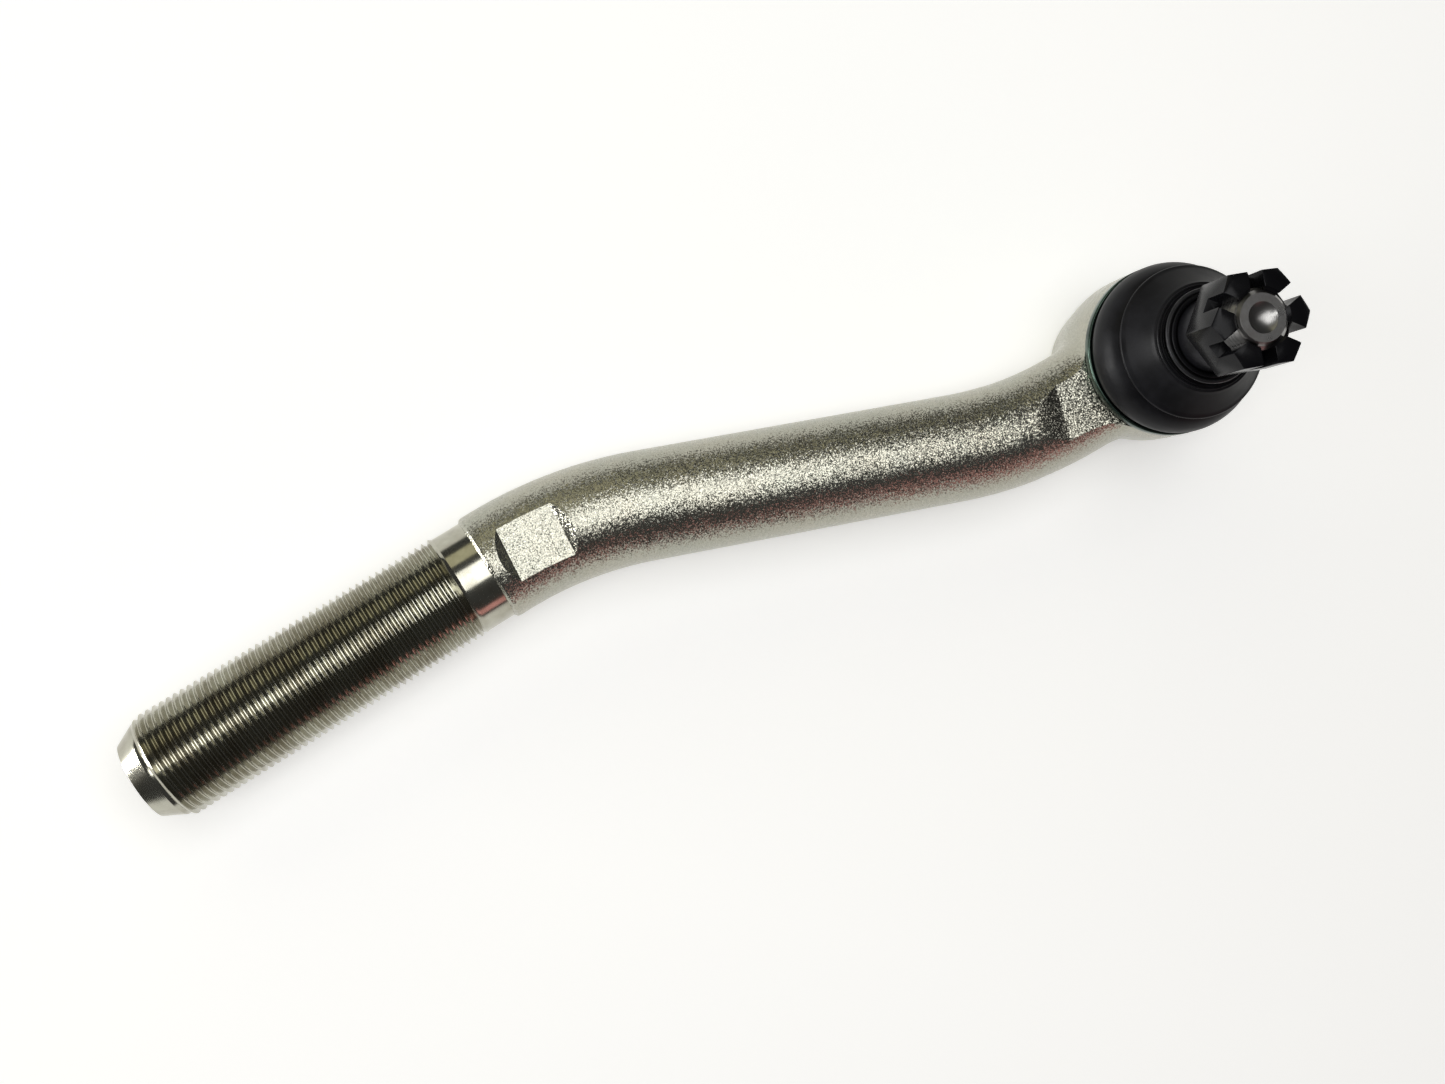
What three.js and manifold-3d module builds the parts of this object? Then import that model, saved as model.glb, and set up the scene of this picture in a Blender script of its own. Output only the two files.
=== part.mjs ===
// Tie rod end with an offset (cranked) forged shank, a sealed ball joint and a slotted nut.
// Millimetres, +Z up. The origin is the centre of the ball. The stud stands along +Z and the
// threaded end of the shank points along -X, parallel to X and offset towards +Y.

import * as THREE from 'three';
import { mergeVertices } from 'three/addons/utils/BufferGeometryUtils.js';
import Module from 'manifold-3d';

const wasm = await Module();
wasm.setup();

// ---------------------------------------------------------------- driving dimensions

const GAP = 0.3;                 // running gap between pieces that touch

const BALL_R = 15;               // 30 mm ball
const STUD_NECK_R = 7.6;         // waist between the ball and the boot seat
const STUD_SEAT_R = 10.1;        // cylinder that the boot's lip seals on
const STUD_WAIST_TOP_Z = 33;     // the waist stays slim up to here, clear of the swinging boot
const STUD_SEAT_BOTTOM_Z = 35.8;
const STUD_THREAD_R = 8;         // M16 x 1.5
const STUD_PITCH = 1.5;
const STUD_END_Z = 66.7;
const STUD_TAPER = 1 / 8;        // on diameter
const TAPER_BOTTOM_Z = 40.4;
const TAPER_TOP_Z = 51.4;
const RECESS_R = 4.1;            // conical recess in the stud's end
const RECESS_DEPTH = 2.8;
const COTTER_HOLE_R = 1.8;
const COTTER_HOLE_Z = 61.5;

const NUT_AF = 24;               // slotted hexagon nut for M16
const NUT_BASE_Z = 52;
const NUT_HEIGHT = 14.6;
const NUT_SLOT_WIDTH = 4;
const NUT_SLOT_DEPTH = 8.2;
const NUT_TURN = THREE.MathUtils.degToRad(8);

const SHANK_R = 15.5;            // forged round bar
const SHANK_OFFSET = 48;         // from the ball's centre to the thread's axis
const BEND_R = 115;              // centre-line radius of both bends
const BEND_ANGLE = THREE.MathUtils.degToRad(21);
const BEND_START_X = -191;       // first bend begins here, seen from the threaded end
const FORGING_END_X = -195.5;    // shoulder where the forging meets the turned end

const ROD_THREAD_R = 15;         // M30 x 2
const ROD_PITCH = 2;
const ROD_THREAD_START_X = -204;
const ROD_RIDGES = 44;
const ROD_TIP_X = -299;
const ROD_TIP_R = 11;
const ROD_NECK_R = 14.5;         // turned, unthreaded length next to the forging

const WRENCH_AF = 27;            // spanner flats, above and below the shank
const WRENCH_X = -181;
const WRENCH_LENGTH = 15.8;
const WRENCH_RUNOUT = 2.8;         // sloping wall at each end of a flat

const EYE_R = 24.4;
const EYE_TOP_Z = 13.2;          // shoulder that the boot's base ring stands on
const EYE_BOTTOM_Z = -22.6;
const EYE_BOTTOM_R = 19.6;       // the eye tapers towards its closed end, as forging draft
const FACET_X = -36;             // the shank's crown is cut level with the shoulder from here on
const FACET_SLOPE_RUN = 10;      // length of the slope that leads down to the facet
const FACET_TURN = THREE.MathUtils.degToRad(-16);
const WEB_TANGENT_X = -15.2;     // where the web's sides run into the eye
const WEB_TANGENT_Y = 18.8;
const COLLAR_R = 20.4;           // collar inside the boot's bead
const COLLAR_TOP_Z = 18;
const SOCKET_R = 17.4;           // bore that holds the two seats
const SOCKET_TOP_Z = 11.7;
const MOUTH_R_LOW = 14.7;        // conical mouth that the stud swings in
const MOUTH_R_HIGH = 17.2;
const CAP_RECESS_R = 18.4;
const CAP_TOP_Z = -18.9;
const CAP_BOTTOM_Z = -21.3;
const LIP_R = 17.2;              // rolled lip under the cap

const SEAT_R = SOCKET_R - GAP;
const SEAT_BORE_R = BALL_R + GAP;
const SPRING_WIRE_R = 0.9;

const RING_INNER_R = 23.1;       // metal ring round the boot's lower bead
const RING_OUTER_R = 24.2;
const RING_BOTTOM_Z = EYE_TOP_Z + GAP;
const RING_TOP_Z = 16;
const NECK_RING_R = 12.4;        // wire ring round the boot's neck, at the wire's centre
const NECK_RING_WIRE_R = 0.7;
const NECK_RING_Z = 40.3;

const ROUND_SEGMENTS = 36;
const THREAD_SEGMENTS = 16;

// ---------------------------------------------------------------- finishes

const finishes = {
  zincForging: new THREE.MeshStandardMaterial({ color: 0xa9aaa0, roughness: 0.42, metalness: 1 }),
  bareSteel: new THREE.MeshStandardMaterial({ color: 0xa7a49e, roughness: 0.35, metalness: 1 }),
  blackOxide: new THREE.MeshStandardMaterial({ color: 0x1c1c1e, roughness: 0.3, metalness: 0.8 }),
  bootRubber: new THREE.MeshStandardMaterial({ color: 0x161618, roughness: 0.55, metalness: 0 }),
  ringSteel: new THREE.MeshStandardMaterial({ color: 0x55645c, roughness: 0.3, metalness: 1 }),
  springSteel: new THREE.MeshStandardMaterial({ color: 0x3a3a3c, roughness: 0.4, metalness: 1 }),
  seatPlastic: new THREE.MeshStandardMaterial({ color: 0xe6e2d3, roughness: 0.5, metalness: 0 }),
};

// ---------------------------------------------------------------- solids

// A lathe's profile is a list of [radius, z]; LatheGeometry turns it round Y, so Y becomes Z.
function lathe(profile, segments = ROUND_SEGMENTS) {
  const points = profile.map(([radius, z]) => new THREE.Vector2(radius, z));
  return new THREE.LatheGeometry(points, segments).rotateX(Math.PI / 2);
}

// A ring's profile closes on itself, and runs anticlockwise so that its faces point outwards.
function ringLathe(profile, segments = ROUND_SEGMENTS) {
  const area = THREE.ShapeUtils.area(profile.map(([radius, z]) => new THREE.Vector2(radius, z)));
  const loop = area > 0 ? profile : [...profile].reverse();
  return lathe([...loop, loop[0]], segments);
}

function toSolid(geometry) {
  const bare = geometry.clone();
  bare.deleteAttribute('normal');
  bare.deleteAttribute('uv');
  const merged = mergeVertices(bare, 1e-4);
  const solid = new wasm.Manifold(new wasm.Mesh({
    numProp: 3,
    vertProperties: new Float32Array(merged.attributes.position.array),
    triVerts: new Uint32Array(merged.index.array),
  }));
  return solid;
}

function toGeometry(solid) {
  const mesh = solid.getMesh();
  const geometry = new THREE.BufferGeometry();
  geometry.setAttribute('position', new THREE.BufferAttribute(mesh.vertProperties, 3));
  geometry.setIndex(new THREE.BufferAttribute(mesh.triVerts, 1));
  geometry.computeVertexNormals();
  return geometry;
}

// Points on the ball-joint's sphere between two heights, for a seat's spherical wall.
function sphereArc(radius, zFrom, zTo, steps) {
  const from = Math.asin(zFrom / radius);
  const to = Math.asin(zTo / radius);
  return Array.from({ length: steps + 1 }, (_, i) => {
    const angle = from + (to - from) * (i / steps);
    return [radius * Math.cos(angle), radius * Math.sin(angle)];
  });
}

// Zigzag of crests and roots for a V thread of the given pitch, drawn as rings.
function threadProfile(crestR, pitch, start, ridges) {
  const rootR = crestR - 0.6 * pitch;
  const rows = Array.from({ length: ridges }, (_, i) => [
    [rootR, start + i * pitch],
    [crestR, start + (i + 0.5) * pitch],
  ]);
  return [...rows.flat(), [rootR, start + ridges * pitch]];
}

// Turns a solid of revolution about Z so that its axis lies along -X at the shank's offset.
function alongRod(geometry) {
  return geometry.rotateY(-Math.PI / 2).translate(0, SHANK_OFFSET, 0);
}

// ---------------------------------------------------------------- forged housing

// Centre line of the shank: straight, bend down, straight, bend back, straight into the eye.
class ShankPath extends THREE.Curve {
  constructor() {
    super();
    this.drop = BEND_R * (1 - Math.cos(BEND_ANGLE));
    this.run = BEND_R * Math.sin(BEND_ANGLE);
    const slopeDrop = SHANK_OFFSET - 2 * this.drop;
    this.slopeLength = slopeDrop / Math.sin(BEND_ANGLE);
    this.leadIn = BEND_START_X - FORGING_END_X;
    this.arcLength = BEND_R * BEND_ANGLE;
    const bendEndX = BEND_START_X + 2 * this.run + slopeDrop / Math.tan(BEND_ANGLE);
    this.leadOut = -bendEndX;
    this.total = this.leadIn + 2 * this.arcLength + this.slopeLength + this.leadOut;
  }

  getPoint(t, target = new THREE.Vector3()) {
    let rest = t * this.total;
    if (rest <= this.leadIn) return target.set(FORGING_END_X + rest, SHANK_OFFSET, 0);
    rest -= this.leadIn;
    if (rest <= this.arcLength) {
      const angle = rest / BEND_R;
      const y = SHANK_OFFSET - BEND_R * (1 - Math.cos(angle));
      return target.set(BEND_START_X + BEND_R * Math.sin(angle), y, 0);
    }
    rest -= this.arcLength;
    const slope = Math.min(rest, this.slopeLength);
    const x = BEND_START_X + this.run + slope * Math.cos(BEND_ANGLE);
    const y = SHANK_OFFSET - this.drop - slope * Math.sin(BEND_ANGLE);
    if (rest <= this.slopeLength) return target.set(x, y, 0);
    rest -= this.slopeLength;
    const angle = BEND_ANGLE - Math.min(rest, this.arcLength) / BEND_R;
    const bendX = x + BEND_R * (Math.sin(BEND_ANGLE) - Math.sin(angle));
    const bendY = BEND_R * (1 - Math.cos(angle));
    return target.set(bendX + Math.max(rest - this.arcLength, 0), bendY, 0);
  }
}

function shankBar() {
  const section = new THREE.Shape().absarc(0, 0, SHANK_R, 0, 2 * Math.PI);
  return new THREE.ExtrudeGeometry(section, {
    steps: 26,
    curveSegments: 12,
    bevelEnabled: false,
    extrudePath: new ShankPath(),
  });
}

// Turned end: neck, ridges at the thread's pitch and the long chamfer at the tip.
function threadedEnd() {
  const start = -ROD_THREAD_START_X;
  const profile = [
    [0, -FORGING_END_X - 3],
    [ROD_NECK_R, -FORGING_END_X - 3],
    [ROD_NECK_R, start - 0.6],
    ...threadProfile(ROD_THREAD_R, ROD_PITCH, start, ROD_RIDGES),
    [ROD_TIP_R, -ROD_TIP_X],
    [0, -ROD_TIP_X],
  ];
  return alongRod(lathe(profile, THREAD_SEGMENTS));
}

// Level cut over the shank's crown in front of the eye, with a slope that leads down to it.
function facetCutter() {
  const depth = SHANK_R - EYE_TOP_Z;
  const top = 3 * depth;
  const side = new THREE.Shape()
    .moveTo(0, 0)
    .lineTo(2 * EYE_R, 0)
    .lineTo(2 * EYE_R, top)
    .lineTo((-FACET_SLOPE_RUN * top) / depth, top)
    .closePath();
  return new THREE.ExtrudeGeometry(side, { depth: 4 * EYE_R, bevelEnabled: false })
    .rotateX(Math.PI / 2)
    .translate(0, 2 * EYE_R, 0)
    .rotateZ(FACET_TURN)
    .translate(FACET_X, 0, EYE_TOP_Z);
}

// One level of the web that flares from the shank into the eye, between -height and +height.
function webLevel(height, startX, startHalfWidth, waistX, waistHalfWidth) {
  const plan = new THREE.Shape()
    .moveTo(startX, -startHalfWidth)
    .lineTo(waistX, -waistHalfWidth)
    .quadraticCurveTo(waistX + 5, -waistHalfWidth - 0.6, WEB_TANGENT_X, -WEB_TANGENT_Y)
    .lineTo(0, -WEB_TANGENT_Y)
    .lineTo(0, WEB_TANGENT_Y)
    .lineTo(WEB_TANGENT_X, WEB_TANGENT_Y)
    .quadraticCurveTo(waistX + 5, waistHalfWidth + 0.6, waistX, waistHalfWidth)
    .lineTo(startX, startHalfWidth)
    .closePath();
  return new THREE.ExtrudeGeometry(plan, {
    depth: 2 * height,
    bevelEnabled: false,
    curveSegments: 6,
  }).translate(0, 0, -height);
}

function eyeBarrel() {
  return lathe([
    [0, EYE_BOTTOM_Z],
    [EYE_BOTTOM_R, EYE_BOTTOM_Z],
    [20.6, -20.6],
    [21.9, -15],
    [23.3, -8],
    [EYE_R, -1],
    [EYE_R, 8],
    [24, EYE_TOP_Z - 0.8],
    [23.4, EYE_TOP_Z],
    [COLLAR_R, EYE_TOP_Z],
    [COLLAR_R, COLLAR_TOP_Z],
    [0, COLLAR_TOP_Z],
  ]);
}

// Everything that the eye is bored out to: mouth, socket, cap recess and rolled lip.
function eyeBore() {
  const over = 1;
  const mouthSlope = (MOUTH_R_HIGH - MOUTH_R_LOW) / (COLLAR_TOP_Z - SOCKET_TOP_Z);
  return lathe([
    [0, EYE_BOTTOM_Z - over],
    [LIP_R, EYE_BOTTOM_Z - over],
    [LIP_R, CAP_BOTTOM_Z - GAP],
    [CAP_RECESS_R, CAP_BOTTOM_Z - GAP],
    [CAP_RECESS_R, CAP_TOP_Z + GAP],
    [SOCKET_R, CAP_TOP_Z + GAP],
    [SOCKET_R, SOCKET_TOP_Z],
    [MOUTH_R_LOW, SOCKET_TOP_Z],
    [MOUTH_R_HIGH + over * mouthSlope, COLLAR_TOP_Z + over],
    [0, COLLAR_TOP_Z + over],
  ]);
}

// Cutter for one spanner flat: a trapezium in side view, so each end wall slopes up and out.
function wrenchCutter(side) {
  const half = WRENCH_LENGTH / 2;
  const depth = SHANK_R - WRENCH_AF / 2;
  const reach = 3;
  const spread = (WRENCH_RUNOUT / depth) * reach;
  const shape = new THREE.Shape()
    .moveTo(-half, WRENCH_AF / 2)
    .lineTo(half, WRENCH_AF / 2)
    .lineTo(half + spread, WRENCH_AF / 2 + reach)
    .lineTo(-half - spread, WRENCH_AF / 2 + reach)
    .closePath();
  const heading = -(WRENCH_X - BEND_START_X) / BEND_R;
  const y = SHANK_OFFSET - BEND_R * (1 - Math.cos(heading));
  const cutter = new THREE.ExtrudeGeometry(shape, { depth: 2 * SHANK_R, bevelEnabled: false })
    .rotateX(Math.PI / 2)
    .translate(0, SHANK_R, 0);
  if (side < 0) cutter.rotateX(Math.PI);
  return cutter.rotateZ(heading).translate(WRENCH_X, y, 0);
}

function forgedHousing() {
  const solid = toSolid(shankBar())
    .subtract(toSolid(facetCutter()))
    .add(toSolid(threadedEnd()))
    .add(toSolid(webLevel(EYE_TOP_Z, -37, 7.5, -24, 13)))
    .add(toSolid(webLevel(8, -32, 12.6, -25, 15.2)))
    .add(toSolid(eyeBarrel()))
    .subtract(toSolid(eyeBore()))
    .subtract(toSolid(wrenchCutter(1)))
    .subtract(toSolid(wrenchCutter(-1)));
  return toGeometry(solid);
}

// ---------------------------------------------------------------- inside the eye

function upperBallSeat() {
  return ringLathe([
    ...sphereArc(SEAT_BORE_R, 0.2, 8.7, 8),
    [14.5, SOCKET_TOP_Z - GAP],
    [SEAT_R, SOCKET_TOP_Z - GAP],
    [SEAT_R, 0.2],
  ]);
}

function lowerBallSeat() {
  return ringLathe([
    [SEAT_R, -0.2],
    [SEAT_R, -14],
    [8, -14],
    ...sphereArc(SEAT_BORE_R, -13.04, -0.2, 10),
  ]);
}

class ConicalCoil extends THREE.Curve {
  getPoint(t, target = new THREE.Vector3()) {
    const turns = 2.25;
    const angle = 2 * Math.PI * turns * t;
    const radius = 15.6 - 2.6 * turns * t;
    const z = -15.4 - 2.1 * t;
    return target.set(radius * Math.cos(angle), radius * Math.sin(angle), z);
  }
}

function preloadSpring() {
  const wire = new THREE.Shape().absarc(0, 0, SPRING_WIRE_R, 0, 2 * Math.PI);
  return new THREE.ExtrudeGeometry(wire, {
    steps: 40,
    curveSegments: 4,
    bevelEnabled: false,
    extrudePath: new ConicalCoil(),
  });
}

function closureCap() {
  const edgeR = CAP_RECESS_R - GAP;
  return lathe([
    [0, CAP_BOTTOM_Z + 0.9],
    [12, CAP_BOTTOM_Z + 0.9],
    [13.2, CAP_BOTTOM_Z],
    [edgeR, CAP_BOTTOM_Z],
    [edgeR, CAP_TOP_Z],
    [0, CAP_TOP_Z],
  ]);
}

// ---------------------------------------------------------------- boot and its rings

// Lower bulge, groove, flat-rimmed upper fold and neck, as one wall of even thickness.
function dustBoot() {
  return ringLathe([
    [20.7, 13.7],
    [22.8, 13.7],
    [22.8, 16.5],
    [23.9, 18.3],
    [24, 21.1],
    [23.2, 24.1],
    [21.6, 26.5],
    [19.2, 28.3],
    [19.2, 28.9],
    [21.3, 29.8],
    [21.3, 30.7],
    [15.4, 37.3],
    [14.6, 37.9],
    [13.3, 37.9],
    [13.3, 39.1],
    [11.4, 39.1],
    [11.4, 41.1],
    [10.4, 41.1],
    [10.4, 35.5],
    [13.4, 35.1],
    [17.6, 30.5],
    [17, 27.9],
    [19.6, 25.1],
    [21.4, 22.3],
    [21.9, 19.7],
    [20.7, 18.3],
  ]);
}

function bootBaseRing() {
  return ringLathe([
    [RING_INNER_R, RING_BOTTOM_Z],
    [RING_OUTER_R, RING_BOTTOM_Z],
    [RING_OUTER_R, RING_TOP_Z],
    [RING_INNER_R, RING_TOP_Z],
  ]);
}

function bootNeckRing() {
  return new THREE.TorusGeometry(NECK_RING_R, NECK_RING_WIRE_R, 10, ROUND_SEGMENTS)
    .translate(0, 0, NECK_RING_Z);
}

// ---------------------------------------------------------------- stud and nut

function ballStud() {
  const ballFlatZ = -14.2;
  const neckZ = Math.sqrt(BALL_R ** 2 - STUD_NECK_R ** 2);
  const taperTopR = STUD_SEAT_R - 0.1 - ((TAPER_TOP_Z - TAPER_BOTTOM_Z) * STUD_TAPER) / 2;
  const threadStart = TAPER_TOP_Z + 1.1;
  const ridges = Math.floor((STUD_END_Z - 1 - threadStart) / STUD_PITCH);
  const profile = [
    [0, ballFlatZ],
    ...sphereArc(BALL_R, ballFlatZ, neckZ, 20),
    [STUD_NECK_R, STUD_WAIST_TOP_Z],
    [STUD_SEAT_R, STUD_SEAT_BOTTOM_Z],
    [STUD_SEAT_R, TAPER_BOTTOM_Z],
    [taperTopR, TAPER_TOP_Z],
    ...threadProfile(STUD_THREAD_R, STUD_PITCH, threadStart, ridges),
    [STUD_THREAD_R - 0.5, STUD_END_Z - 0.8],
    [STUD_THREAD_R - 1, STUD_END_Z],
    [RECESS_R, STUD_END_Z],
    [0, STUD_END_Z - RECESS_DEPTH],
  ];
  const cotterHole = new THREE.CylinderGeometry(COTTER_HOLE_R, COTTER_HOLE_R, 30, 12)
    .translate(0, 0, COTTER_HOLE_Z);
  return toGeometry(toSolid(lathe(profile, THREAD_SEGMENTS)).subtract(toSolid(cotterHole)));
}

// Slotted nut: a hexagon with chamfered corners, a plain clearance bore and six slots.
function castleNut() {
  const cornerR = NUT_AF / 2 / Math.cos(Math.PI / 6);
  const chamfer = cornerR - NUT_AF / 2;
  const hexagon = new THREE.CylinderGeometry(cornerR, cornerR, NUT_HEIGHT, 6)
    .rotateX(Math.PI / 2)
    .translate(0, 0, NUT_HEIGHT / 2);
  const turned = ringLathe([
    [STUD_THREAD_R + GAP + 1, 0],
    [cornerR - 0.5, 0],
    [cornerR + 0.2, 0.5],
    [cornerR + 0.2, NUT_HEIGHT - chamfer * 0.8],
    [NUT_AF / 2 - 0.4, NUT_HEIGHT],
    [STUD_THREAD_R + GAP + 1, NUT_HEIGHT],
    [STUD_THREAD_R + GAP, NUT_HEIGHT - 1],
    [STUD_THREAD_R + GAP, 1],
  ]);
  let solid = toSolid(hexagon).intersect(toSolid(turned));
  for (let i = 0; i < 3; i += 1) {
    const slot = new THREE.BoxGeometry(3 * NUT_AF, NUT_SLOT_WIDTH, 2 * NUT_SLOT_DEPTH)
      .translate(0, 0, NUT_HEIGHT)
      .rotateZ((i * Math.PI) / 3);
    solid = solid.subtract(toSolid(slot));
  }
  return toGeometry(solid);
}

// ---------------------------------------------------------------- assembly

function piece(name, geometry, finish) {
  const mesh = new THREE.Mesh(geometry, finish.clone());
  mesh.name = name;
  return mesh;
}

const nut = piece('castle_nut', castleNut(), finishes.blackOxide);
nut.position.z = NUT_BASE_Z;
nut.rotation.z = NUT_TURN;

const stud = new THREE.Group();
stud.add(piece('ball_stud', ballStud(), finishes.bareSteel), nut);

const boot = new THREE.Group();
boot.add(
  piece('dust_boot', dustBoot(), finishes.bootRubber),
  piece('boot_base_ring', bootBaseRing(), finishes.ringSteel),
  piece('boot_neck_ring', bootNeckRing(), finishes.springSteel),
);

const housing = new THREE.Group();
housing.add(
  piece('forged_housing', forgedHousing(), finishes.zincForging),
  piece('upper_ball_seat', upperBallSeat(), finishes.seatPlastic),
  piece('lower_ball_seat', lowerBallSeat(), finishes.seatPlastic),
  piece('preload_spring', preloadSpring(), finishes.springSteel),
  piece('closure_cap', closureCap(), finishes.zincForging),
);

const group = new THREE.Group();
group.add(housing, boot, stud);

export default group;
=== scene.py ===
"""Tie rod end: cranked forged shank, sealed ball joint, tapered stud and slotted nut.

Everything is built in millimetres with bmesh operators and handed over in metres, in the
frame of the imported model: the origin is the centre of the ball, +Z runs up the stud and -X
runs towards the threaded end of the shank.
"""

from __future__ import annotations

import logging
import math
from dataclasses import dataclass
from enum import Enum
from typing import Any, Callable, Sequence

import bmesh
import bpy
from bmesh.types import BMEdge, BMesh, BMFace, BMVert
from bpy.types import Material, Node, NodeSocket, NodeTree, Object
from mathutils import Matrix, Vector

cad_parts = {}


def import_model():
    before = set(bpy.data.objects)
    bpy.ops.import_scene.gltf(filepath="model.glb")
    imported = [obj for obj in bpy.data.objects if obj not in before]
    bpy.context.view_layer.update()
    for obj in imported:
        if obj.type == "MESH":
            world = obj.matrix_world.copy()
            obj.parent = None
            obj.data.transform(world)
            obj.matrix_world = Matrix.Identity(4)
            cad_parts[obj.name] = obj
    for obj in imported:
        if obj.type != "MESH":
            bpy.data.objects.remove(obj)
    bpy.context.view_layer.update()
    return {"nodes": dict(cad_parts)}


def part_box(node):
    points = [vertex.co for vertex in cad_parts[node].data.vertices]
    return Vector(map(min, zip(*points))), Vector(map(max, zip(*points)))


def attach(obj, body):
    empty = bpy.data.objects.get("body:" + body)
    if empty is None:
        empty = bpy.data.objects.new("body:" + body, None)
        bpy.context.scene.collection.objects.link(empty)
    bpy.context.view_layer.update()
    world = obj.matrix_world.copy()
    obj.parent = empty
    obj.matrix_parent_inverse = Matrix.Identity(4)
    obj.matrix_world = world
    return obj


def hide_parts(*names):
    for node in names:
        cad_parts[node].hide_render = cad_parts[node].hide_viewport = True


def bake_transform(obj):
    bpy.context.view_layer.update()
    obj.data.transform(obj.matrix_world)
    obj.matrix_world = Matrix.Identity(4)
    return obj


LOG = logging.getLogger("tie_rod_end")

MM = 0.001                       # one millimetre, in the frame's metres
MERGE = 1e-4                     # vertices nearer than this, in millimetres, are one
WAVE_TURN = math.tau / 20        # a wave texture of scale s repeats every WAVE_TURN / s metres
THREAD_DEPTH = 0.613             # of the pitch, as on an ISO external thread
TURN_SEAM = 0.004                # mm, joins a thread's neighbouring turns

Point = tuple[float, float, float]


# ---------------------------------------------------------------- mesh tools


class Join(Enum):
    """How one solid is combined with another."""

    ADD = "UNION"
    CUT = "DIFFERENCE"
    KEEP = "INTERSECT"


@dataclass(frozen=True)
class Corner:
    """A corner of a turned profile: radius, height, and how far its rounding reaches, in mm."""

    r: float
    z: float
    ease: float = 0.0


def link_mesh(bm: BMesh, name: str) -> Object:
    """Turns a millimetre bmesh into a linked object in metres.

    Args:
        bm: The finished mesh in millimetres. It is freed.
        name: Name of the new object and of its mesh.

    Returns:
        The object, at the origin and unturned.
    """
    bmesh.ops.scale(bm, vec=(MM, MM, MM), verts=bm.verts)
    mesh = bpy.data.meshes.new(name)
    bm.to_mesh(mesh)
    bm.free()
    obj = bpy.data.objects.new(name, mesh)
    bpy.context.scene.collection.objects.link(obj)
    return obj


def settle(obj: Object) -> None:
    """Bakes an object's modifiers into its mesh.

    Args:
        obj: The object, which keeps its name and loses its modifiers.
    """
    graph = bpy.context.evaluated_depsgraph_get()
    mesh = bpy.data.meshes.new_from_object(obj.evaluated_get(graph))
    obj.modifiers.clear()
    obj.data = mesh
    mesh.name = obj.name
def census(obj: Object) -> tuple[int, int, int]:
    """Counts an object's vertices, edges and faces."""
    return len(obj.data.vertices), len(obj.data.edges), len(obj.data.polygons)


def combine(obj: Object, tool: Object, how: Join) -> None:
    """Adds, cuts or intersects with a second solid, which is used up.

    Args:
        obj: The solid that is changed.
        tool: The second solid.
        how: Which of the three it is.
    """
    modifier = obj.modifiers.new("combine", "BOOLEAN")
    modifier.operation = how.value
    modifier.solver = "MANIFOLD"
    modifier.object = tool
    before = census(obj)
    settle(obj)
    if not obj.data.polygons or census(obj) == before:
        LOG.warning("%s: combining with %s left nothing or changed nothing", obj.name, tool.name)
    bpy.data.objects.remove(tool)


def crisp(obj: Object, angle_deg: float = 32.0) -> None:
    """Shades an object smooth, apart from the edges that turn by more than the angle.

    Args:
        obj: The object.
        angle_deg: Largest angle that is still shaded smooth.
    """
    obj.data.shade_smooth()
    obj.data.set_sharp_from_angle(angle=math.radians(angle_deg))


def soften_edges(
    obj: Object, width: float, angle_deg: float = 30.0, steps: int = 2,
) -> None:
    """Rounds an object's sharp edges.

    Args:
        obj: The object.
        width: Width of the rounding in millimetres.
        angle_deg: Edges that turn by more than this are rounded.
        steps: Segments across the rounding.
    """
    modifier = obj.modifiers.new("soften", "BEVEL")
    modifier.width = width * MM
    modifier.segments = steps
    modifier.limit_method = "ANGLE"
    modifier.angle_limit = math.radians(angle_deg)
    settle(obj)


def turned(
    corners: Sequence[Corner], closed: bool = True, segments: int = 128,
) -> BMesh:
    """Spins a profile round Z.

    Args:
        corners: The profile, in order.
        closed: True for a ring, false for a solid whose two ends lie on the axis.
        segments: Faces round the axis.

    Returns:
        The solid, in millimetres, with its faces outwards.
    """
    bm = bmesh.new()
    verts = [bm.verts.new((c.r, 0, c.z)) for c in corners]
    pairs = zip(verts, verts[1:] + (verts[:1] if closed else []))
    for a, b in pairs:
        bm.edges.new((a, b))
    for vert, corner in zip(verts, corners):
        if corner.ease > 0:
            bmesh.ops.bevel(
                bm, geom=[vert], offset=corner.ease, offset_type="OFFSET", segments=5,
                profile=0.5, affect="VERTICES", material=-1,
            )
    bmesh.ops.spin(
        bm, geom=bm.verts[:] + bm.edges[:], cent=(0, 0, 0), axis=(0, 0, 1), dvec=(0, 0, 0),
        angle=math.tau, steps=segments, use_merge=True,
    )
    bmesh.ops.remove_doubles(bm, verts=bm.verts, dist=MERGE)
    bmesh.ops.recalc_face_normals(bm, faces=bm.faces)
    return bm


def prism(outline: Sequence[Point], sweep: Point) -> BMesh:
    """Extrudes a flat outline into a closed solid.

    Args:
        outline: The outline's corners in millimetres, in order.
        sweep: How far and in which direction it is extruded.

    Returns:
        The solid, in millimetres, with its faces outwards.
    """
    bm = bmesh.new()
    face = bm.faces.new([bm.verts.new(p) for p in outline])
    grown = bmesh.ops.extrude_face_region(bm, geom=[face], use_keep_orig=True)
    moved = [g for g in grown["geom"] if isinstance(g, BMVert)]
    bmesh.ops.translate(bm, verts=moved, vec=sweep)
    bmesh.ops.recalc_face_normals(bm, faces=bm.faces)
    return bm
def turn_and_shift(
    bm: BMesh, turn_deg: float, axis: str, shift: Point = (0, 0, 0),
) -> None:
    """Turns a whole mesh round an axis through the origin, then moves it.

    Args:
        bm: The mesh, in millimetres.
        turn_deg: The angle in degrees.
        axis: X, Y or Z.
        shift: How far it is moved.
    """
    matrix = Matrix.Rotation(math.radians(turn_deg), 3, axis)
    bmesh.ops.rotate(bm, verts=bm.verts, cent=(0, 0, 0), matrix=matrix)
    bmesh.ops.translate(bm, verts=bm.verts, vec=shift)


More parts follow.
